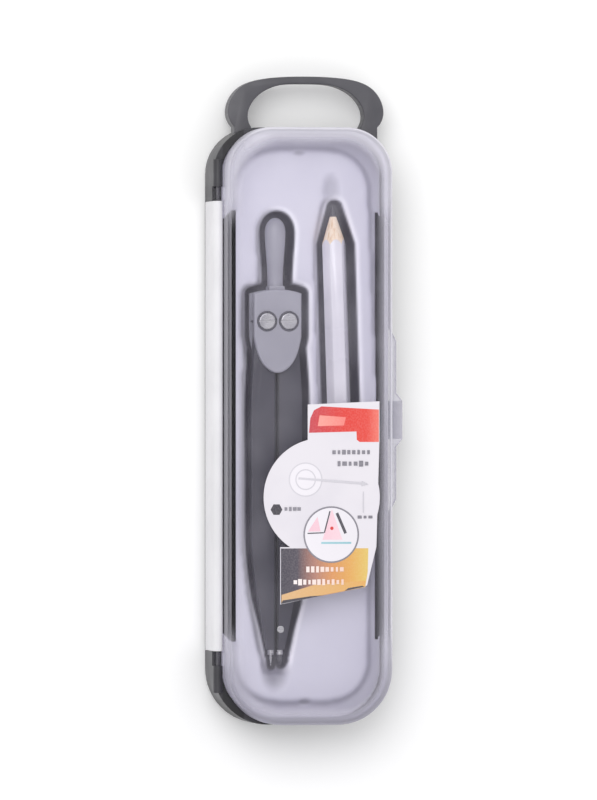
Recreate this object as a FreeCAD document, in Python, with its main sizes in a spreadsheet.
import FreeCAD, Part
import Sketcher
import math
import os

from FreeCAD import Placement, Rotation, Vector

# Drafting compass set: a hinged pencil-case style box with a carry handle, and in it a geared
# compass and a short pencil. The box lies on its back: +Z is up through the lid, +Y runs to the
# carry handle and -X is the hinge side. The origin is the middle of the base's underside.

SIZES = [
    # the box
    ("case_length", 188.0, "base and lid along Y"),
    ("case_width", 56.2, "base across X"),
    ("base_height", 16.0, "underside to rim"),
    ("lid_height", 9.0, "rim to the outside of the lid's top"),
    ("corner_top", 14.5, "corner radius at the handle end"),
    ("corner_foot", 17.5, "corner radius at the far end"),
    ("base_wall", 1.6, "base side walls"),
    ("base_floor", 1.8, "base floor"),
    ("base_edge", 2.0, "round along the base's lower edge"),
    ("hinge_wall", 2.8, "base wall on the hinge side"),
    ("lid_wall", 1.3, "lid side walls and top"),
    ("lid_edge", 3.0, "round along the lid's upper edge"),
    ("lid_gap", 0.1, "daylight between base rim and lid"),
    # hinge
    ("spine_length", 141.6, "white hinge spine along Y"),
    ("spine_plate", 1.35, "thickness of the spine's plate"),
    ("spine_low", 2.2, "height of the spine's lower edge"),
    ("barrel_radius", 1.5, "outside of the hinge barrel"),
    ("barrel_gap", 0.3, "hinge barrel to lid wall"),
    ("knuckle_length", 4.0, "lid knuckle along the pin"),
    ("knuckle_gap", 0.3, "end play of a knuckle"),
    ("ear_length", 8.5, "base ear beyond the knuckle"),
    ("pin_radius", 0.6, "hinge pin"),
    ("pin_fit", 0.05, "radial clearance round the hinge pin"),
    ("pin_seat", 6.0, "pin length held in the spine and in the ear"),
    ("trim_gap", 0.05, "clearance round pieces that clip into the base"),
    # latch
    ("latch_centre", 1.9, "middle of the latch along Y"),
    ("latch_land_half", 25.0, "half length of the lid's finger ledge"),
    ("latch_land_reach", 2.0, "finger ledge proud of the lid's side"),
    ("latch_tab_half", 8.5, "half length of the lid's snap tab"),
    ("latch_tab_reach", 4.0, "snap tab proud of the lid's side"),
    ("latch_tab_drop", 8.0, "snap tab below the base rim"),
    ("latch_lip", 2.4, "height of ledge and tab above the rim"),
    ("latch_tab_slant", 2.5, "slant at each end of the snap tab"),
    ("catch_half", 6.0, "half length of the catch"),
    ("catch_height", 5.9, "catch along Z"),
    ("catch_reach", 2.1, "catch proud of the base's side"),
    ("catch_drop", 0.6, "top of the catch below the base rim"),
    ("catch_tongue_half", 4.0, "half length of the tongue in the wall"),
    ("catch_tongue_height", 3.0, "tongue along Z"),
    # carry handle
    ("handle_centre", 2.6, "middle of the handle across X"),
    ("handle_half", 25.0, "half width outside"),
    ("handle_reach", 16.3, "beyond the end of the box"),
    ("handle_band", 2.3, "band at the top of the loop"),
    ("handle_side", 6.4, "band at the sides of the loop"),
    ("handle_low", 5.0, "underside of the handle above the floor"),
    ("handle_thick", 6.0, "handle along Z"),
    ("handle_foot", 7.5, "length of a foot inside the end of the box"),
    ("handle_fit", 0.3, "window clearance round a foot"),
    ("handle_lug", 1.6, "hook on the inner side of each foot"),
    ("lug_gap", 2.0, "hook to the inside of the end wall"),
    ("foot_tuck", 2.0, "outer side of a foot in from the widest of the loop"),
    ("foot_step", 1.0, "inner side of a foot in from the side of the loop"),
    # tray
    ("tray_top", 14.2, "upper face of the tray"),
    ("tray_sheet", 1.0, "tray wall thickness"),
    ("tray_step", 1.7, "drop from the plateau to the flange"),
    ("tray_end", 7.0, "box end to the tray's plateau"),
    ("tray_left", 7.6, "hinge side of the box to the plateau"),
    ("tray_right", 3.4, "latch side of the box to the plateau"),
    ("tray_waist", 2.4, "how far the latch side of the plateau draws in"),
    ("tray_corner", 13.0, "plateau corner radius"),
    ("tray_fit", 0.4, "flange to the base walls"),
    ("gap_inset", 22.0, "tray corner to the start of the open side slot"),
    ("gap_point", 4.0, "slant of a side slot's pointed ends"),
    ("tool_clearance", 2.2, "tray recess round the tools"),
    ("rest_gap", 0.1, "tool to the floor of its recess"),
    # compass
    ("compass_x", -8.1, "compass axis across X"),
    ("compass_z", 15.0, "middle plane of the compass"),
    ("pivot_y", 33.0, "leg pivots along Y"),
    ("gear_teeth", 10, "teeth of each leg's gear"),
    ("gear_module", 0.7, "module of the leg gears"),
    ("gear_face", 3.0, "width of the gear teeth along Z"),
    ("tooth_rise", 0.85, "modules from the pitch circle to a tooth's tip"),
    ("tooth_root", 1.1, "modules from the pitch circle to a tooth's root"),
    ("tooth_backlash", 0.12, "gap beside a tooth in mesh"),
    ("hub_radius", 2.8, "round the pivot"),
    ("leg_gap", 0.3, "between the closed legs"),
    ("leg_width", 7.9, "each leg at its widest"),
    ("leg_thick", 6.0, "leg at the head"),
    ("leg_tip_thick", 3.4, "leg at its end"),
    ("leg_length", 103.5, "pivot to the end of the plastic leg"),
    ("leg_tip_width", 2.5, "each leg at its end"),
    ("leg_full", 40.0, "pivot to where the leg starts to thin"),
    ("grip_top", 32.5, "pivot line to the top of the grip"),
    ("grip_radius", 3.25, "grip at its fullest"),
    ("neck_radius", 2.45, "grip at its neck"),
    ("shield_up", 10.0, "head cover above the pivot line"),
    ("shield_down", 16.3, "head cover below the pivot line"),
    ("shield_half", 7.6, "half width of the head cover"),
    ("shield_crown", 1.3, "rise of the head cover's top edge"),
    ("cover_thick", 1.85, "head covers"),
    ("cover_gap", 0.15, "head cover to leg"),
    ("cover_round", 0.7, "round along a head cover's outer rim"),
    ("screw_radius", 1.25, "pivot screw shank"),
    ("screw_fit", 0.05, "radial clearance of a leg on its screw"),
    ("screw_head_radius", 2.6, "pivot screw head"),
    ("screw_head_height", 1.0, "pivot screw head"),
    ("screw_slot", 0.6, "screwdriver slot"),
    ("nut_flats", 4.0, "pivot nut across flats"),
    ("nut_thick", 1.2, "pivot nut"),
    ("ferrule_radius", 1.05, "metal sleeve in a leg's end"),
    ("ferrule_length", 12.0, "metal sleeve"),
    ("ferrule_proud", 1.5, "sleeve beyond the plastic leg"),
    ("point_inset", 1.4, "needle and lead from the closing line"),
    ("needle_radius", 0.45, "needle"),
    ("needle_length", 15.4, "needle"),
    ("needle_proud", 3.6, "needle beyond its sleeve"),
    ("needle_taper", 2.6, "length of the needle's point"),
    ("lead_radius", 0.75, "compass lead"),
    ("lead_length", 14.0, "compass lead"),
    ("lead_proud", 3.2, "lead beyond its sleeve"),
    ("lead_taper", 1.4, "length of the lead's point"),
    ("grub_radius", 1.1, "lead clamp screw"),
    ("grub_back", 6.5, "lead clamp screw above the leg's end"),
    # pencil
    ("pencil_corner_radius", 3.75, "hexagon across corners, halved"),
    ("pencil_length", 88.0, "end to sharpened point"),
    ("pencil_cone", 12.0, "sharpened length"),
    ("pencil_core", 1.0, "radius of the pencil's lead"),
    ("pencil_core_proud", 3.0, "bare lead at the point"),
    ("pencil_tip_x", 10.4, "pencil point across X"),
    ("pencil_tip_y", 69.0, "pencil point along Y"),
    ("pencil_lean", 1.8, "degrees off the box's length"),
    # label
    ("label_sheet", 0.2, "label thickness"),
    ("label_disc_radius", 18.6, "round part of the label"),
    ("label_disc_x", 4.9, "centre of the round part"),
    ("label_disc_y", -22.4, "centre of the round part"),
    ("label_right", 23.4, "right edge of the label"),
    ("label_left", 0.4, "left edge of header and panel"),
    ("label_top", 7.8, "upper edge of the header"),
    ("label_foot", -50.2, "lower right corner"),
    ("label_foot_left", -56.0, "lower left corner of the foot band"),
    ("label_band_left", -8.4, "left edge of the foot band"),
    ("label_band_top", -38.0, "upper edge of the foot band"),
]

doc = FreeCAD.newDocument("compass_set")
sheet = doc.addObject("Spreadsheet::Sheet", "Sizes")
for row, (alias, value, note) in enumerate(SIZES, start=1):
    sheet.set(f"A{row}", alias)
    sheet.set(f"B{row}", str(value))
    sheet.set(f"C{row}", note)
    sheet.setAlias(f"B{row}", alias)
doc.recompute()

NODES = []


def size(alias):
    """The value of one cell."""
    return float(sheet.get(alias))


def cells(text):
    """An expression with the sheet's name put before each alias, which is written as @alias."""
    return text.replace("@", "Sizes.")


def value_of(text):
    """The number that an expression of cells stands for now."""
    probe = doc.addObject("App::FeaturePython", "Probe")
    probe.addProperty("App::PropertyFloat", "Result")
    probe.setExpression("Result", cells(text))
    probe.recompute()
    result = probe.Result
    doc.removeObject(probe.Name)
    return result


def register(item, label):
    """Names a finished sub-part and lists it for writing."""
    item.Label = label
    NODES.append(item)
    return item


def feature(label, shape):
    """A sub-part whose shape is made by Part's own functions."""
    item = doc.addObject("Part::Feature", label)
    spot = shape.Placement
    item.Shape = shape
    item.Placement = spot
    return register(item, label)


def new_body(label):
    return register(doc.addObject("PartDesign::Body", label), label)


def plane_of(body, role):
    return next(item for item in body.Origin.OriginFeatures if item.Role == role)


def new_sketch(body, name, role, height="0 mm"):
    """An empty sketch on one of the body's origin planes, raised along the plane's normal."""
    sketch = body.newObject("Sketcher::SketchObject", name)
    sketch.AttachmentSupport = [(plane_of(body, role), "")]
    sketch.MapMode = "FlatFace"
    sketch.setExpression("AttachmentOffset.Base.z", cells(height))
    return sketch


def tie_point(sketch, index, end, x_text, y_text):
    """Holds one end of a sketch line, or a centre, at two expressions of cells."""
    for kind, text in (("DistanceX", x_text), ("DistanceY", y_text)):
        number = sketch.addConstraint(
            Sketcher.Constraint(kind, -1, 1, index, end, value_of(text))
        )
        sketch.setExpression(f"Constraints[{number}]", cells(text))


def add_polygon(sketch, corners):
    """A closed outline of straight lines through corners given as expressions."""
    spots = [Vector(value_of(x), value_of(y), 0) for x, y in corners]
    first = None
    for place, spot in enumerate(spots):
        index = sketch.addGeometry(
            Part.LineSegment(spot, spots[(place + 1) % len(spots)]), False
        )
        first = index if first is None else first
    for place in range(len(spots)):
        following = (place + 1) % len(spots)
        sketch.addConstraint(
            Sketcher.Constraint("Coincident", first + place, 2, first + following, 1)
        )
        tie_point(sketch, first + place, 1, *corners[place])


def add_rectangle(sketch, x_low, x_high, y_low, y_high):
    add_polygon(
        sketch,
        [(x_low, y_low), (x_high, y_low), (x_high, y_high), (x_low, y_high)],
    )


def add_rounded_rectangle(sketch, x_low, x_high, y_low, y_high, low_radius, high_radius):
    """A rectangle whose corners are arcs, with one radius at each end of Y."""
    corners = [
        (f"({x_low})", "+", f"({y_low})", "+", low_radius, math.pi),
        (f"({x_high})", "-", f"({y_low})", "+", low_radius, 1.5 * math.pi),
        (f"({x_high})", "-", f"({y_high})", "-", high_radius, 0.0),
        (f"({x_low})", "+", f"({y_high})", "-", high_radius, 0.5 * math.pi),
    ]
    arcs = []
    for x_text, x_sign, y_text, y_sign, radius, start in corners:
        centre_x = f"{x_text} {x_sign} ({radius})"
        centre_y = f"{y_text} {y_sign} ({radius})"
        circle = Part.Circle(
            Vector(value_of(centre_x), value_of(centre_y), 0), Vector(0, 0, 1), value_of(radius)
        )
        index = sketch.addGeometry(Part.ArcOfCircle(circle, start, start + math.pi / 2), False)
        tie_point(sketch, index, 3, centre_x, centre_y)
        number = sketch.addConstraint(Sketcher.Constraint("Radius", index, value_of(radius)))
        sketch.setExpression(f"Constraints[{number}]", cells(radius))
        arcs.append(index)
    for place, index in enumerate(arcs):
        following = arcs[(place + 1) % len(arcs)]
        start = sketch.getPoint(index, 2)
        stop = sketch.getPoint(following, 1)
        side = sketch.addGeometry(Part.LineSegment(start, stop), False)
        sketch.addConstraint(Sketcher.Constraint("Tangent", index, 2, side, 1))
        sketch.addConstraint(Sketcher.Constraint("Tangent", side, 2, following, 1))


def add_circle(sketch, x_text, y_text, radius_text):
    centre = Vector(value_of(x_text), value_of(y_text), 0)
    circle = Part.Circle(centre, Vector(0, 0, 1), value_of(radius_text))
    index = sketch.addGeometry(circle, False)
    tie_point(sketch, index, 3, x_text, y_text)
    number = sketch.addConstraint(
        Sketcher.Constraint("Radius", index, value_of(radius_text))
    )
    sketch.setExpression(f"Constraints[{number}]", cells(radius_text))


def grow(body, kind, sketch, length_text, reverse=False, both=False):
    """A Pad or Pocket of a sketch, checked to have changed the body's volume the right way."""
    before = body.Shape.Volume if not body.Shape.isNull() else 0.0
    step = body.newObject(f"PartDesign::{kind}", f"{sketch.Name}_{kind}")
    step.Profile = sketch
    step.setExpression("Length", cells(length_text))
    step.Reversed = reverse
    step.Midplane = both
    doc.recompute()
    change = body.Shape.Volume - before
    if (change <= 0) if kind == "Pad" else (change >= 0):
        raise ValueError(f"{step.Name} does nothing")
    return step


def round_edges(body, name, chosen, radius_text):
    """A fillet on the edges of the body's tip that a test picks out."""
    base = body.Tip
    names = [
        f"Edge{number}"
        for number, edge in enumerate(base.Shape.Edges, start=1)
        if chosen(edge)
    ]
    step = body.newObject("PartDesign::Fillet", name)
    step.Base = (base, names)
    step.setExpression("Radius", cells(radius_text))
    doc.recompute()
    return step


def level_at(height, reach=0.05):
    """A test for edges that lie flat at one height."""

    def chosen(edge):
        box = edge.BoundBox
        return box.ZLength < reach and abs(box.ZMin - height) < reach

    return chosen


# ---------------------------------------------------------------- shared places, as expressions

LEFT = "-@case_width / 2"
RIGHT = "@case_width / 2"
HEAD_END = "@case_length / 2"
FOOT_END = "-@case_length / 2"
HINGE_X = "(-@case_width / 2 + @barrel_radius)"
LID_LEFT = f"({HINGE_X} + @barrel_radius + @barrel_gap)"
KNUCKLE_NEAR = "(@spine_length / 2 + @knuckle_gap)"
KNUCKLE_FAR = f"({KNUCKLE_NEAR} + @knuckle_length)"
EAR_NEAR = f"({KNUCKLE_FAR} + @knuckle_gap)"
LID_LOW = "(@base_height + @lid_gap)"
LID_TOP = "(@base_height + @lid_height)"
CATCH_TOP = "(@base_height - @catch_drop)"
FOOT_IN = "(@handle_half - @handle_side - @foot_step)"
FOOT_OUT = "(@handle_half - @foot_tuck)"

# Curves drawn by eye, as shares of the sizes that they belong to.
LOOP_BELLY = 0.3  # widest point of the handle, up its reach
LOOP_SHOULDER_DROP = 0.27  # shoulder below the crown, of the reach
LOOP_CROWN_HALF = 0.45  # start of the crown, of the half width
LOOP_CROWN_DROP = 0.03  # start of the crown below its top, of the reach
LOOP_SHOULDER_OUT = 0.88  # outer shoulder, of the half width
LOOP_SHOULDER_IN = 0.86  # inner shoulder, of the inner half width
SHIELD_SIDE = ((1.0, 0.30), (0.86, 0.58), (0.47, 0.90))  # half width and depth of a cover
TOOTH_FOOT = 1.45  # half a tooth at its root, of half a tooth at the pitch circle
TOOTH_TIP = 0.45  # half a tooth at its tip
OVERRUN = 1.0  # how far a cut runs past what it cuts


# ---------------------------------------------------------------- base and what clips into it


def base_shell():
    """The dark lower half of the box, with the seats of the spine, catch and handle."""
    body = new_body("base_shell")
    outline = new_sketch(body, "BaseOutline", "XY_Plane")
    add_rounded_rectangle(
        outline, LEFT, RIGHT, FOOT_END, HEAD_END, "@corner_foot", "@corner_top"
    )
    grow(body, "Pad", outline, "@base_height")
    round_edges(body, "BaseLowerEdge", level_at(0.0), "@base_edge")

    cavity = new_sketch(body, "BaseCavity", "XY_Plane", "@base_height")
    add_rounded_rectangle(
        cavity,
        "-@case_width / 2 + @hinge_wall",
        "@case_width / 2 - @base_wall",
        "-@case_length / 2 + @base_wall",
        "@case_length / 2 - @base_wall",
        "@corner_foot - @base_wall",
        "@corner_top - @base_wall",
    )
    grow(body, "Pocket", cavity, "@base_height - @base_floor")

    spine_seat = new_sketch(body, "SpineSeat", "XY_Plane", "@base_height")
    seat_half = "(@spine_length / 2 + @trim_gap)"
    add_rectangle(
        spine_seat,
        f"{LEFT} - 1",
        f"{LEFT} + @spine_plate + @trim_gap",
        f"-{seat_half}",
        seat_half,
    )
    grow(body, "Pocket", spine_seat, "@base_height - @spine_low + @trim_gap")
    barrel_seat = new_sketch(body, "BarrelSeat", "XY_Plane", "@base_height")
    add_rectangle(barrel_seat, f"{LEFT} - 1", f"{LID_LEFT}", f"-{EAR_NEAR}", EAR_NEAR)
    grow(body, "Pocket", barrel_seat, "@barrel_radius + @barrel_gap")

    for side, sign in (("Head", ""), ("Foot", "-")):
        ear = new_sketch(body, f"{side}Ear", "XZ_Plane", f"-{sign}({EAR_NEAR})")
        add_circle(ear, HINGE_X, "@base_height", "@barrel_radius")
        grow(body, "Pad", ear, "@ear_length", reverse=(sign == ""))
        hole = new_sketch(body, f"{side}EarHole", "XZ_Plane", f"-{sign}({EAR_NEAR})")
        add_circle(hole, HINGE_X, "@base_height", "@pin_radius + @pin_fit")
        grow(
            body,
            "Pocket",
            hole,
            "@pin_seat + @knuckle_gap",
            reverse=(sign == "-"),
        )

    window = new_sketch(body, "HandleWindows", "XZ_Plane", "@corner_top - @case_length / 2")
    low = "@handle_low - @handle_fit"
    high = "@handle_low + @handle_thick + @handle_fit"
    for sign in ("-", "+"):
        ends = (
            f"@handle_centre {sign} ({FOOT_IN} - @handle_fit)",
            f"@handle_centre {sign} ({FOOT_OUT} + @handle_fit)",
        )
        add_rectangle(window, *ends, low, high)
    grow(body, "Pocket", window, "@corner_top + 5")

    slot = new_sketch(body, "CatchSlot", "YZ_Plane", "@case_width / 2 - @base_wall - 1")
    middle = f"({CATCH_TOP} - @catch_height / 2)"
    add_rectangle(
        slot,
        "@latch_centre - @catch_tongue_half - @trim_gap",
        "@latch_centre + @catch_tongue_half + @trim_gap",
        f"{middle} - @catch_tongue_height / 2 - @trim_gap",
        f"{middle} + @catch_tongue_height / 2 + @trim_gap",
    )
    grow(body, "Pocket", slot, "@base_wall + 2", reverse=True)


def hinge_spine():
    """The white strip that closes the hinge side and carries the middle of the hinge barrel."""
    body = new_body("hinge_spine")
    outline = new_sketch(body, "SpineSection", "XZ_Plane")
    add_rectangle(
        outline, LEFT, "-@case_width / 2 + @spine_plate", "@spine_low", "@base_height"
    )
    grow(body, "Pad", outline, "@spine_length", both=True)
    barrel = new_sketch(body, "SpineBarrel", "XZ_Plane")
    add_circle(barrel, HINGE_X, "@base_height", "@barrel_radius")
    grow(body, "Pad", barrel, "@spine_length", both=True)
    for side, sign in (("Head", ""), ("Foot", "-")):
        hole = new_sketch(body, f"Spine{side}Hole", "XZ_Plane", f"-{sign}(@spine_length / 2)")
        add_circle(hole, HINGE_X, "@base_height", "@pin_radius + @pin_fit")
        grow(body, "Pocket", hole, "@pin_seat + @knuckle_gap", reverse=(sign == ""))


def hinge_pins():
    """Two steel pins, each from the spine through a lid knuckle into a base ear."""
    length = 2 * size("pin_seat") + size("knuckle_length") + 2 * size("knuckle_gap")
    middle = value_of(f"({KNUCKLE_NEAR} + {KNUCKLE_FAR}) / 2")
    pins = []
    for sign in (1, -1):
        pin = doc.addObject("Part::Cylinder", "HingePin")
        pin.setExpression("Radius", cells("@pin_radius"))
        pin.setExpression(
            "Height", cells("2 * @pin_seat + @knuckle_length + 2 * @knuckle_gap")
        )
        start = Vector(value_of(HINGE_X), sign * middle - length / 2, size("base_height"))
        pin.Placement = Placement(start, Rotation(Vector(1, 0, 0), -90))
        pins.append(pin)
    group = doc.addObject("Part::Compound", "HingePins")
    group.Links = pins
    register(group, "hinge_pins")


def latch_catch():
    """The blue-grey catch clipped through the wall, which the lid's tab snaps over."""
    body = new_body("latch_catch")
    middle = f"({CATCH_TOP} - @catch_height / 2)"
    face = new_sketch(body, "CatchFace", "YZ_Plane", "@case_width / 2")
    add_rectangle(
        face,
        "@latch_centre - @catch_half",
        "@latch_centre + @catch_half",
        f"{CATCH_TOP} - @catch_height",
        CATCH_TOP,
    )
    grow(body, "Pad", face, "@catch_reach")
    tongue = new_sketch(body, "CatchTongue", "YZ_Plane", "@case_width / 2 - @base_wall")
    add_rectangle(
        tongue,
        "@latch_centre - @catch_tongue_half",
        "@latch_centre + @catch_tongue_half",
        f"{middle} - @catch_tongue_height / 2",
        f"{middle} + @catch_tongue_height / 2",
    )
    grow(body, "Pad", tongue, "@base_wall + @catch_reach / 2")
    outer = value_of("@case_width / 2 + @catch_reach")
    round_edges(
        body,
        "CatchRound",
        lambda edge: abs(edge.BoundBox.XMin - outer) < 0.01 and edge.BoundBox.XLength < 0.01,
        "@catch_reach / 3",
    )


def carry_handle():
    """The dark loop at the head end: thin over the top, wide at the sides, with two feet."""
    half = size("handle_half")
    end = size("case_length") / 2
    crown = end + size("handle_reach")
    inner_half = half - size("handle_side")
    inner_crown = crown - size("handle_band")
    reach = size("handle_reach")
    foot_out = half - size("foot_tuck")
    foot_in = inner_half - size("foot_step")
    foot_low = end - size("handle_foot")

    def side_curve(width, top, waist, shoulder):
        """One side of the loop: up a foot, over the top and down the other foot."""
        right = [
            Vector(waist, end + size("handle_fit"), 0),
            Vector(width, end + reach * LOOP_BELLY, 0),
            Vector(width * shoulder, top - reach * LOOP_SHOULDER_DROP, 0),
            Vector(width * LOOP_CROWN_HALF, top - reach * LOOP_CROWN_DROP, 0),
        ]
        left = [Vector(-point.x, point.y, 0) for point in reversed(right)]
        return [
            Part.makeLine(Vector(waist, foot_low, 0), right[0]),
            smooth_edge(right + [Vector(0, top, 0)] + left),
            Part.makeLine(left[-1], Vector(-waist, foot_low, 0)),
        ]

    outside = side_curve(half, crown, foot_out, LOOP_SHOULDER_OUT)
    inside = side_curve(inner_half, inner_crown, foot_in, LOOP_SHOULDER_IN)
    feet = [
        Part.makeLine(Vector(foot_out * sign, foot_low, 0), Vector(foot_in * sign, foot_low, 0))
        for sign in (1, -1)
    ]
    wire = Part.Wire(Part.__sortEdges__(outside + inside + feet))
    solid = Part.Face(wire).extrude(Vector(0, 0, size("handle_thick")))
    lug_length = size("handle_foot") - size("base_wall") - size("lug_gap")
    for start in (foot_in - size("handle_lug"), -foot_in - OVERRUN):
        corner = Vector(start, foot_low, 0)
        lug = Part.makeBox(
            size("handle_lug") + OVERRUN, lug_length, size("handle_thick"), corner
        )
        solid = solid.fuse(lug)
    solid = solid.removeSplitter()
    solid.translate(Vector(size("handle_centre"), 0, size("handle_low")))
    feature("carry_handle", solid)


# ---------------------------------------------------------------- lid and label


def lid_shell():
    """The clear lid: a shallow rounded cover with hinge knuckles, finger ledge and snap tab."""
    body = new_body("lid_shell")
    outline = new_sketch(body, "LidOutline", "XY_Plane", LID_LOW)
    add_rounded_rectangle(
        outline, LID_LEFT, RIGHT, FOOT_END, HEAD_END, "@corner_foot", "@corner_top"
    )
    grow(body, "Pad", outline, "@lid_height - @lid_gap")
    round_edges(body, "LidUpperEdge", level_at(value_of(LID_TOP)), "@lid_edge")

    cavity = new_sketch(body, "LidCavity", "XY_Plane", LID_LOW)
    add_rounded_rectangle(
        cavity,
        f"{LID_LEFT} + @lid_wall",
        "@case_width / 2 - @lid_wall",
        "-@case_length / 2 + @lid_wall",
        "@case_length / 2 - @lid_wall",
        "@corner_foot - @lid_wall",
        "@corner_top - @lid_wall",
    )
    grow(body, "Pocket", cavity, "@lid_height - @lid_gap - @lid_wall", reverse=True)
    ceiling = value_of("@base_height + @lid_height - @lid_wall")
    round_edges(body, "LidInnerEdge", level_at(ceiling), "@lid_edge - @lid_wall")

    for side, sign in (("Head", ""), ("Foot", "-")):
        near = KNUCKLE_NEAR if sign == "" else f"-{KNUCKLE_FAR}"
        bridge = new_sketch(body, f"{side}Bridge", "XZ_Plane", f"-{near}")
        add_rectangle(
            bridge,
            HINGE_X,
            f"{LID_LEFT} + @lid_wall / 2",
            "@base_height + @lid_gap",
            "@base_height + @barrel_radius",
        )
        grow(body, "Pad", bridge, "@knuckle_length", reverse=True)
        knuckle = new_sketch(body, f"{side}Knuckle", "XZ_Plane", f"-{near}")
        add_circle(knuckle, HINGE_X, "@base_height", "@barrel_radius")
        grow(body, "Pad", knuckle, "@knuckle_length", reverse=True)
        hole = new_sketch(body, f"{side}KnuckleHole", "XZ_Plane", f"-{near}")
        add_circle(hole, HINGE_X, "@base_height", "@pin_radius + @pin_fit")
        grow(body, "Pocket", hole, "@knuckle_length")

    ledge = new_sketch(body, "FingerLedge", "XY_Plane", LID_LOW)
    add_polygon(
        ledge,
        [
            ("@case_width / 2 - @lid_wall / 2", "@latch_centre - @latch_land_half - 4"),
            ("@case_width / 2", "@latch_centre - @latch_land_half - 4"),
            ("@case_width / 2 + @latch_land_reach", "@latch_centre - @latch_land_half"),
            ("@case_width / 2 + @latch_land_reach", "@latch_centre + @latch_land_half"),
            ("@case_width / 2", "@latch_centre + @latch_land_half + 4"),
            ("@case_width / 2 - @lid_wall / 2", "@latch_centre + @latch_land_half + 4"),
        ],
    )
    grow(body, "Pad", ledge, "@latch_lip")
    tab = new_sketch(body, "SnapTab", "XY_Plane", LID_LOW)
    add_polygon(
        tab,
        [
            ("@case_width / 2 - @lid_wall / 2", "@latch_centre - @latch_tab_half"),
            ("@case_width / 2 + @latch_land_reach", "@latch_centre - @latch_tab_half"),
            ("@case_width / 2 + @latch_tab_reach", "@latch_centre - @latch_tab_half + @latch_tab_slant"),
            ("@case_width / 2 + @latch_tab_reach", "@latch_centre + @latch_tab_half - @latch_tab_slant"),
            ("@case_width / 2 + @latch_land_reach", "@latch_centre + @latch_tab_half"),
            ("@case_width / 2 - @lid_wall / 2", "@latch_centre + @latch_tab_half"),
        ],
    )
    grow(body, "Pad", tab, "@latch_lip")
    skirt = new_sketch(body, "SnapSkirt", "XY_Plane", "@base_height + @latch_lip / 2")
    add_rectangle(
        skirt,
        "@case_width / 2 + @latch_tab_reach - @lid_wall",
        "@case_width / 2 + @latch_tab_reach",
        "@latch_centre - @latch_tab_half + @latch_tab_slant",
        "@latch_centre + @latch_tab_half - @latch_tab_slant",
    )
    grow(body, "Pad", skirt, "@latch_tab_drop + @latch_lip / 2", reverse=True)


def label_sticker():
    """The paper label on the lid: a header, a panel, a disc and a slanted foot band."""
    body = new_body("label_sticker")
    disc = new_sketch(body, "LabelDisc", "XY_Plane", LID_TOP)
    add_circle(disc, "@label_disc_x", "@label_disc_y", "@label_disc_radius")
    grow(body, "Pad", disc, "@label_sheet")
    panel = new_sketch(body, "LabelPanel", "XY_Plane", LID_TOP)
    add_polygon(
        panel,
        [
            ("@label_band_left", "@label_band_top"),
            ("@label_band_left", "@label_foot_left"),
            ("@label_right - 4", "@label_foot"),
            ("@label_right - 1", "@label_band_top"),
            ("@label_right", "@label_top - 12"),
            ("@label_right", "@label_top"),
            ("@label_left", "@label_top - 1"),
            ("@label_left", "@label_band_top"),
        ],
    )
    grow(body, "Pad", panel, "@label_sheet")


# ---------------------------------------------------------------- plan outlines of the tools


def closed_face(edges):
    return Part.Face(Part.Wire(Part.__sortEdges__(edges)))


def smooth_edge(points):
    """One smooth curve through the points."""
    curve = Part.BSplineCurve()
    curve.interpolate(points)
    return curve.toShape()


def polygon_face(points):
    return Part.Face(Part.makePolygon([*points, points[0]]))


def shield_taper():
    """The lower outline of the head cover, from its left side round its point to its right."""
    half = size("shield_half")
    down = size("shield_down")
    left = [Vector(-half * wide, -down * deep, 0) for wide, deep in SHIELD_SIDE]
    right = [Vector(-point.x, point.y, 0) for point in reversed(left)]
    return left + [Vector(0, -down, 0)] + right


def shield_top():
    """The head cover's left corner, the top of its crown and its right corner."""
    half = size("shield_half")
    corner = size("shield_up") - size("shield_crown")
    return [Vector(-half, corner, 0), Vector(0, size("shield_up"), 0), Vector(half, corner, 0)]


def shield_face():
    """The head cover in plan, about the middle of the pivot line."""
    points = shield_taper()
    left_corner, crown, right_corner = shield_top()
    return closed_face(
        [
            Part.Arc(left_corner, crown, right_corner).toShape(),
            Part.makeLine(left_corner, points[0]),
            smooth_edge(points),
            Part.makeLine(points[-1], right_corner),
        ]
    )


def shield_outline():
    """The same cover with straight runs between its points, for the recess round it."""
    return polygon_face(shield_taper() + list(reversed(shield_top())))


def leg_bow():
    """The bowed outer side of the needle leg, from below the head to the leg's end."""
    outer = -size("leg_width")
    length = size("leg_length")
    return [
        Vector(outer + 0.9, -9.5, 0),
        Vector(outer + 0.1, -20.0, 0),
        Vector(outer, -length * 0.50, 0),
        Vector(outer + 0.45, -length * 0.72, 0),
        Vector(outer * 0.76, -length * 0.83, 0),
        Vector(-size("leg_gap") / 2 - size("leg_tip_width"), -length, 0),
    ]


def leg_inside():
    """The rest of the leg's outline, from its end up the flat side and over the hub."""
    inner = -size("leg_gap") / 2
    pivot = -size("gear_teeth") * size("gear_module") / 2
    return [
        Vector(inner, -size("leg_length"), 0),
        Vector(inner, -size("hub_radius") - 1.8, 0),
        Vector(pivot, 0, 0),
        Vector(pivot - size("hub_radius"), 0, 0),
    ]


def leg_face():
    """The needle leg in plan, about the middle of the pivot line: flat inside, bowed outside."""
    bow = leg_bow()
    runs = [bow[-1], *leg_inside(), bow[0]]
    return closed_face(
        [smooth_edge(bow)] + [Part.makeLine(a, b) for a, b in zip(runs, runs[1:])]
    )


def leg_outline():
    """The same leg with straight runs between its points, for the recess round it."""
    return polygon_face(leg_bow() + leg_inside())


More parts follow.
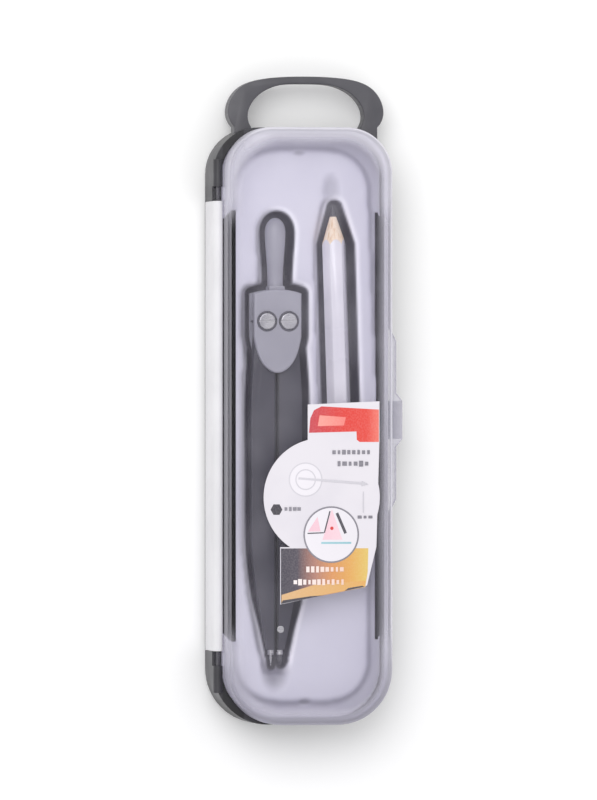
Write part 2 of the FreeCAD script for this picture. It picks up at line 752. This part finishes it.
def grip_profile():
    """Half of the grip in plan, from its axis, as points up one side."""
    top = size("grip_top")
    neck = size("neck_radius")
    full = size("grip_radius")
    low = size("shield_up") - size("shield_crown")
    return [
        Vector(neck + 0.25, low, 0),
        Vector(neck, low + 3.6, 0),
        Vector(neck + 0.1, low + 7.5, 0),
        Vector(full, top - 6.0, 0),
        Vector(full * 0.86, top - 2.1, 0),
        Vector(full * 0.42, top - 0.35, 0),
        Vector(0, top, 0),
    ]


def grip_outline():
    """The whole grip in plan with straight runs, for the recess round it."""
    side = grip_profile()
    return polygon_face(side + [Vector(-point.x, point.y, 0) for point in reversed(side[:-1])])


def grip_face():
    """Half of the grip in plan, on one side of its axis."""
    points = grip_profile()
    return closed_face(
        [
            smooth_edge(points),
            Part.makeLine(points[-1], Vector(0, points[0].y, 0)),
            Part.makeLine(Vector(0, points[0].y, 0), points[0]),
        ]
    )


def mirrored(face):
    return face.mirror(Vector(0, 0, 0), Vector(1, 0, 0))


def points_face():
    """The needle and the lead in plan, beyond the plastic legs."""
    half = size("point_inset") + size("ferrule_radius")
    start = -size("leg_length") + 1
    stop = -size("leg_length") - size("ferrule_proud") - size("needle_proud")
    return polygon_face(
        [
            Vector(-half, start, 0),
            Vector(half, start, 0),
            Vector(size("point_inset"), stop, 0),
            Vector(-size("point_inset"), stop, 0),
        ]
    )


def pencil_face():
    """The pencil in plan, about its point, with its length down -Y."""
    half = size("pencil_corner_radius")
    cone = size("pencil_cone")
    length = size("pencil_length")
    return polygon_face(
        [
            Vector(-1, 0, 0),
            Vector(-half, -cone, 0),
            Vector(-half, -length, 0),
            Vector(half, -length, 0),
            Vector(half, -cone, 0),
            Vector(1, 0, 0),
        ]
    )


def at_compass(shape, height=0.0):
    """Puts a plan made about the pivot line into the box."""
    moved = shape.copy()
    moved.translate(Vector(size("compass_x"), size("pivot_y"), height))
    return moved


def pencil_spot(height):
    """Turns and moves the pencil's own axes into the box."""
    return Placement(
        Vector(size("pencil_tip_x"), size("pencil_tip_y"), height),
        Rotation(Vector(0, 0, 1), size("pencil_lean")),
    )


def widened(face, clearance):
    """A plan grown by a clearance, with round corners."""
    return face.makeOffset2D(clearance, 0, False, False, False)


def column(face, low, high):
    """A plan stood up between two heights."""
    solid = face.copy()
    solid.translate(Vector(0, 0, low))
    return solid.extrude(Vector(0, 0, high - low))


# ---------------------------------------------------------------- tray


def rounded_plan(x_low, x_high, y_low, y_high, low_radius, high_radius):
    """A rectangle in plan with its corners rounded, by one radius at each end of Y."""
    block = Part.makeBox(x_high - x_low, y_high - y_low, 1, Vector(x_low, y_low, 0))
    middle = (y_low + y_high) / 2
    for radius, is_high in ((low_radius, False), (high_radius, True)):
        uprights = [
            edge
            for edge in block.Edges
            if edge.BoundBox.XLength < 1e-6
            and edge.BoundBox.YLength < 1e-6
            and (edge.BoundBox.YMin > middle) == is_high
            and min(abs(edge.BoundBox.YMin - y_low), abs(edge.BoundBox.YMin - y_high)) < 1e-6
        ]
        block = block.makeFillet(radius, uprights)
    return next(face for face in block.Faces if abs(face.CenterOfMass.z) < 1e-6)


def plateau_face():
    """The tray's raised face: straight by the hinge, waisted by the latch."""
    half = size("case_length") / 2 - size("tray_end")
    left = -size("case_width") / 2 + size("tray_left")
    right = size("case_width") / 2 - size("tray_right")
    waist = right - size("tray_waist")
    corner = size("tray_corner")
    latch = size("latch_centre")
    bulge = size("latch_land_half")
    arc = corner * (1 - math.sqrt(0.5))
    side = [
        Vector(waist, -half + corner, 0),
        Vector(waist, latch - bulge, 0),
        Vector(right, latch - bulge * 0.4, 0),
        Vector(right, latch + bulge * 0.4, 0),
        Vector(waist, half - corner, 0),
    ]
    corners = [
        (Vector(waist, half - corner, 0), Vector(waist - arc, half - arc, 0),
         Vector(waist - corner, half, 0)),
        (Vector(left + corner, half, 0), Vector(left + arc, half - arc, 0),
         Vector(left, half - corner, 0)),
        (Vector(left, -half + corner, 0), Vector(left + arc, -half + arc, 0),
         Vector(left + corner, -half, 0)),
        (Vector(waist - corner, -half, 0), Vector(waist - arc, -half + arc, 0),
         Vector(waist, -half + corner, 0)),
    ]
    edges = [Part.makeLine(low, high) for low, high in zip(side, side[1:])]
    for start, middle, stop in corners:
        edges.append(Part.Arc(start, middle, stop).toShape())
    for before, after in zip(corners, corners[1:]):
        edges.append(Part.makeLine(before[2], after[0]))
    return closed_face(edges)


def flange_face():
    """The tray's lower rim, a close fit inside the base."""
    gap = size("tray_fit")
    wall = size("base_wall") + gap
    return rounded_plan(
        -size("case_width") / 2 + size("hinge_wall") + gap,
        size("case_width") / 2 - wall,
        -size("case_length") / 2 + wall,
        size("case_length") / 2 - wall,
        size("corner_foot") - wall,
        size("corner_top") - wall,
    )


def side_slots(low, high):
    """Open slots beside the plateau, with pointed ends, which show the base's floor."""
    half = size("case_length") / 2 - size("tray_end") - size("gap_inset")
    left = -size("case_width") / 2
    right = size("case_width") / 2
    slots = []
    for edge, wall in ((left + size("tray_left"), left), (right - size("tray_right"), right)):
        reach = size("gap_point")
        outline = polygon_face(
            [
                Vector(edge, half + reach, 0),
                Vector(wall, half - reach, 0),
                Vector(wall, -half + reach, 0),
                Vector(edge, -half - reach, 0),
            ]
        )
        slots.append(column(outline, low, high))
    return slots


def tray_insert():
    """The pale formed tray: a plateau with a recess for each tool, standing on its flange."""
    top = size("tray_top")
    wall = size("tray_sheet")
    shelf = top - size("tray_step")
    clearance = size("tool_clearance")
    middle = size("compass_z")
    leg_floor = middle - size("leg_thick") / 2 - size("rest_gap")
    head_floor = (
        middle
        - size("leg_thick") / 2
        - size("cover_gap")
        - size("cover_thick")
        - size("rest_gap")
    )
    flats = size("pencil_corner_radius") * math.cos(math.pi / 6)
    pencil_floor = middle - flats - size("rest_gap")

    legs = leg_outline()
    plans = [
        (at_compass(legs), leg_floor),
        (at_compass(mirrored(legs)), leg_floor),
        (at_compass(grip_outline()), middle - size("grip_radius") - size("rest_gap")),
        (at_compass(points_face()), leg_floor),
        (at_compass(shield_outline()), head_floor),
    ]
    pencil = pencil_face()
    pencil.Placement = pencil_spot(0)
    plans.append((pencil, pencil_floor))

    plateau = plateau_face()
    inside = widened(plateau, -wall)
    tray = column(plateau, shelf - wall, top)
    rim = column(flange_face(), shelf - wall, shelf)
    for slot in side_slots(shelf - 2 * wall, shelf + wall):
        rim = rim.cut(slot)
    tray = tray.fuse(rim).cut(column(inside, shelf - 2 * wall, top - wall))
    cups = [column(widened(plan, clearance + wall), floor - wall, top) for plan, floor in plans]
    tray = tray.fuse(cups)
    tray = tray.cut([column(widened(plan, clearance), floor, top + 1) for plan, floor in plans])
    feature("tray_insert", largest_solid(tray.removeSplitter()))


def largest_solid(shape):
    """The main solid of a cut, without any crumbs."""
    return max(shape.Solids, key=lambda solid: solid.Volume)


# ---------------------------------------------------------------- compass


def gear_solid(phase):
    """A small spur gear about the origin, with straight-sided teeth and backlash."""
    module = size("gear_module")
    teeth = int(size("gear_teeth"))
    pitch = module * teeth / 2
    root = pitch - size("tooth_root") * module
    crest = pitch + size("tooth_rise") * module
    half_pitch = math.pi * module / 4 - size("tooth_backlash")
    sunk = root - module / 2
    core = Part.makeCylinder(root, size("gear_face"))
    for number in range(teeth):
        turn = phase + number * 360.0 / teeth
        tooth = polygon_face(
            [
                Vector(sunk, -half_pitch * TOOTH_FOOT, 0),
                Vector(pitch, -half_pitch, 0),
                Vector(crest, -half_pitch * TOOTH_TIP, 0),
                Vector(crest, half_pitch * TOOTH_TIP, 0),
                Vector(pitch, half_pitch, 0),
                Vector(sunk, half_pitch * TOOTH_FOOT, 0),
            ]
        ).extrude(Vector(0, 0, size("gear_face")))
        tooth.rotate(Vector(0, 0, 0), Vector(0, 0, 1), turn)
        core = core.fuse(tooth)
    core.translate(Vector(0, 0, -size("gear_face") / 2))
    return core


def leg_solid(side):
    """One leg about the middle of the pivot line. side is -1 for the needle leg, 1 for the lead."""
    thick = size("leg_thick")
    pivot = side * size("gear_teeth") * size("gear_module") / 2
    plan = leg_face() if side < 0 else mirrored(leg_face())
    blade = column(plan, -thick / 2, thick / 2)
    length = size("leg_length")
    full = size("leg_full")
    tip = size("leg_tip_thick") / 2
    profile = polygon_face(
        [
            Vector(0, thick, thick / 2),
            Vector(0, -full, thick / 2),
            Vector(0, -length - 1, tip),
            Vector(0, -length - 1, -tip),
            Vector(0, -full, -thick / 2),
            Vector(0, thick, -thick / 2),
        ]
    )
    wedge = profile.extrude(Vector(2 * size("leg_width") + 2, 0, 0))
    wedge.translate(Vector(-size("leg_width") - 1, 0, 0))
    blade = blade.common(wedge)
    hub = Part.makeCylinder(size("hub_radius"), thick, Vector(pivot, 0, -thick / 2))
    half_tooth = 180.0 / size("gear_teeth")
    gear = gear_solid(0.0 if side < 0 else 180.0 + half_tooth)
    gear.translate(Vector(pivot, 0, 0))
    near = Part.makeCylinder(
        size("gear_module") * size("gear_teeth") / 2 + size("gear_module") + size("leg_gap") / 2,
        thick,
        Vector(-pivot, 0, -thick / 2),
    )
    blade = blade.cut(near)
    leg = blade.fuse([hub, gear])
    bore = Part.makeCylinder(
        size("screw_radius") + size("screw_fit"), 2 * thick, Vector(pivot, 0, -thick)
    )
    leg = leg.cut(bore)
    inset = side * size("point_inset")
    depth = size("ferrule_length") - size("ferrule_proud")
    socket = Part.makeCylinder(
        size("ferrule_radius"), depth + 1, Vector(inset, -length - 1, 0), Vector(0, 1, 0)
    )
    leg = leg.cut(socket)
    if side > 0:
        leg = leg.cut(
            Part.makeCylinder(
                size("grub_radius"),
                thick,
                Vector(inset, -length + size("grub_back"), size("ferrule_radius")),
            )
        )
    return largest_solid(leg.removeSplitter())


def compass_legs():
    feature("needle_leg", at_compass(leg_solid(-1), size("compass_z")))
    feature("lead_leg", at_compass(leg_solid(1), size("compass_z")))


def sleeve(outer, inner, length):
    """A tube along +Y from the origin."""
    tube = Part.makeCylinder(outer, length, Vector(0, 0, 0), Vector(0, 1, 0))
    hole = Part.makeCylinder(inner, length + 2, Vector(0, -1, 0), Vector(0, 1, 0))
    return tube.cut(hole)


def leg_ends():
    """The metal sleeves, the needle, the lead and the screw that clamps the lead."""
    end = -size("leg_length") - size("ferrule_proud")
    middle = size("compass_z")
    inset = size("point_inset")
    length = size("ferrule_length")
    kinds = (
        ("needle", -1, size("needle_radius"), size("needle_length"), size("needle_proud")),
        ("lead", 1, size("lead_radius"), size("lead_length"), size("lead_proud")),
    )
    for name, side, radius, whole, proud in kinds:
        taper = size(f"{name}_taper")
        tube = sleeve(size("ferrule_radius"), radius, length)
        tube.translate(Vector(side * inset, end, 0))
        feature(f"{name}_sleeve", at_compass(tube, middle))
        rod = Part.makeCylinder(
            radius, whole - taper, Vector(side * inset, end - proud + taper, 0), Vector(0, 1, 0)
        )
        point = Part.makeCone(
            radius * 0.12, radius, taper, Vector(side * inset, end - proud, 0), Vector(0, 1, 0)
        )
        label = "compass_needle" if name == "needle" else "compass_lead"
        feature(label, at_compass(rod.fuse(point).removeSplitter(), middle))
    low = size("ferrule_radius")
    height = size("leg_tip_thick") / 2 - low + 0.35
    spot = Vector(inset, -size("leg_length") + size("grub_back"), low)
    grub = Part.makeCylinder(size("grub_radius"), height, spot)
    slot = Part.makeBox(
        2 * size("grub_radius"),
        size("screw_slot") * 0.7,
        0.5,
        spot + Vector(-size("grub_radius"), -size("screw_slot") * 0.35, height - 0.4),
    )
    feature("lead_clamp_screw", at_compass(grub.cut(slot), middle))


def compass_grip():
    """The turned grip with its flat tang, which the two head covers hold."""
    profile = grip_face()
    turned = profile.revolve(Vector(0, 0, 0), Vector(0, 1, 0), 360)
    crest = size("gear_module") * (size("gear_teeth") / 2 + size("tooth_rise"))
    low = crest + size("gear_module")
    width = 2 * size("neck_radius")
    thick = size("leg_thick") + 2 * size("cover_gap")
    tang = Part.makeBox(
        width, size("shield_up") + 1.0 - low, thick, Vector(-width / 2, low, -thick / 2)
    )
    grip = turned.fuse(tang)
    for side in (-1, 1):
        offset = side * (thick / 2)
        start = offset if side > 0 else offset - 5
        block = Part.makeBox(30, size("shield_up") + 0.4, 5, Vector(-15, 0, start))
        grip = grip.cut(block)
    feature("compass_grip", at_compass(grip.removeSplitter(), size("compass_z")))


def pivot_places():
    spread = size("gear_teeth") * size("gear_module") / 2
    return [Vector(-spread, 0, 0), Vector(spread, 0, 0)]


def head_covers():
    """Two shield-shaped covers that clamp the tang and carry the pivot screws."""
    thick = size("cover_thick")
    stand = size("leg_thick") / 2 + size("cover_gap")
    front = column(shield_face(), stand, stand + thick)
    rim = [edge for edge in front.Edges if level_at(stand + thick)(edge)]
    front = front.makeFillet(size("cover_round"), rim)
    rear = column(shield_face(), -stand - thick, -stand)
    rim = [edge for edge in rear.Edges if level_at(-stand - thick)(edge)]
    rear = rear.makeFillet(size("cover_round"), rim)
    for place in pivot_places():
        hole = Part.makeCylinder(size("screw_radius") + size("screw_fit"), 20, place)
        seat = Part.makeCylinder(
            size("screw_head_radius") + size("screw_fit"),
            5,
            place + Vector(0, 0, stand + thick - size("screw_head_height") * 0.5),
        )
        front = front.cut([hole, seat])
        low = Part.makeCylinder(
            size("screw_radius") + size("screw_fit"), 20, place - Vector(0, 0, 20)
        )
        nut_room = hexagon(size("nut_flats") / 2 + size("screw_fit"), size("nut_thick"))
        nut_room.translate(place + Vector(0, 0, -stand - thick))
        rear = rear.cut([low, nut_room])
    feature("head_front_cover", at_compass(front, size("compass_z")))
    feature("head_rear_cover", at_compass(rear, size("compass_z")))


def hexagon(flat_radius, height):
    """A hexagonal prism about +Z from its distance to a flat."""
    corner = flat_radius / math.cos(math.pi / 6)
    points = [
        Vector(corner * math.cos(math.radians(angle)), corner * math.sin(math.radians(angle)), 0)
        for angle in range(0, 360, 60)
    ]
    return polygon_face(points).extrude(Vector(0, 0, height))


def pivot_fasteners():
    """Two slotted screws from the front and the nuts that take them at the back."""
    stand = size("leg_thick") / 2 + size("cover_gap")
    thick = size("cover_thick")
    head_low = stand + thick - size("screw_head_height") * 0.5
    foot = -stand - thick
    screws = []
    nuts = []
    for place in pivot_places():
        shank = Part.makeCylinder(
            size("screw_radius"), head_low - foot, place + Vector(0, 0, foot)
        )
        head = Part.makeCylinder(
            size("screw_head_radius"), size("screw_head_height"), place + Vector(0, 0, head_low)
        )
        crown = [edge for edge in head.Edges if level_at(head_low + size("screw_head_height"))(edge)]
        head = head.makeFillet(size("screw_head_height") * 0.4, crown)
        slot = Part.makeBox(
            2 * size("screw_head_radius"),
            size("screw_slot"),
            1,
            place
            + Vector(
                -size("screw_head_radius"),
                -size("screw_slot") / 2,
                head_low + size("screw_head_height") * 0.55,
            ),
        )
        screws.append(at_compass(shank.fuse(head).cut(slot).removeSplitter(), size("compass_z")))
        nut = hexagon(size("nut_flats") / 2, size("nut_thick"))
        nut.translate(place + Vector(0, 0, foot))
        nuts.append(
            at_compass(
                nut.cut(
                    Part.makeCylinder(
                        size("screw_radius"), 5, place + Vector(0, 0, foot - 1)
                    )
                ),
                size("compass_z"),
            )
        )
    feature("pivot_screws", Part.makeCompound(screws))
    feature("pivot_nuts", Part.makeCompound(nuts))


# ---------------------------------------------------------------- pencil


def pencil():
    """A short hexagonal pencil, sharpened at the head end, with its lead right through."""
    corner = size("pencil_corner_radius")
    length = size("pencil_length")
    cone = size("pencil_cone")
    core = size("pencil_core")
    proud = size("pencil_core_proud")
    rod = hexagon(corner * math.cos(math.pi / 6), length)
    rod.rotate(Vector(0, 0, 0), Vector(1, 0, 0), 90)
    slope = corner / cone
    sharpened = Part.makeCone(
        slope * 0.2, slope * (length + 0.2), length, Vector(0, 0, 0), Vector(0, -1, 0)
    )
    barrel = rod.common(sharpened)
    lead = Part.makeCylinder(core, length, Vector(0, 0, 0), Vector(0, -1, 0))
    tip_cone = Part.makeCone(0.12, core, proud, Vector(0, 0, 0), Vector(0, -1, 0))
    rest = Part.makeCylinder(core, length - proud, Vector(0, -proud, 0), Vector(0, -1, 0))
    barrel = barrel.cut(lead)
    spot = pencil_spot(size("compass_z"))
    for label, shape in (
        ("pencil_barrel", barrel),
        ("pencil_lead", rest.fuse(tip_cone).removeSplitter()),
    ):
        shape.Placement = spot.multiply(shape.Placement)
        feature(label, largest_solid(shape))


# ---------------------------------------------------------------- build, check and write

base_shell()
hinge_spine()
hinge_pins()
latch_catch()
carry_handle()
lid_shell()
label_sticker()
tray_insert()
compass_grip()
head_covers()
pivot_fasteners()
compass_legs()
leg_ends()
pencil()
doc.recompute()

failed = [item.Label for item in doc.Objects if {"Invalid", "Error"} & set(item.State)]
if failed:
    raise ValueError(f"not built: {failed}")
for item in NODES:
    if item.Shape.isNull() or not item.Shape.isValid() or not item.Shape.Solids:
        raise ValueError(f"{item.Label} is not a valid solid")

os.makedirs("parts", exist_ok=True)
for item in NODES:
    item.Shape.exportStep(os.path.join("parts", f"{item.Label}.step"))
    print(f"{item.Label:18s} {len(item.Shape.Solids)} solid(s) {item.Shape.Volume:9.1f} mm3")
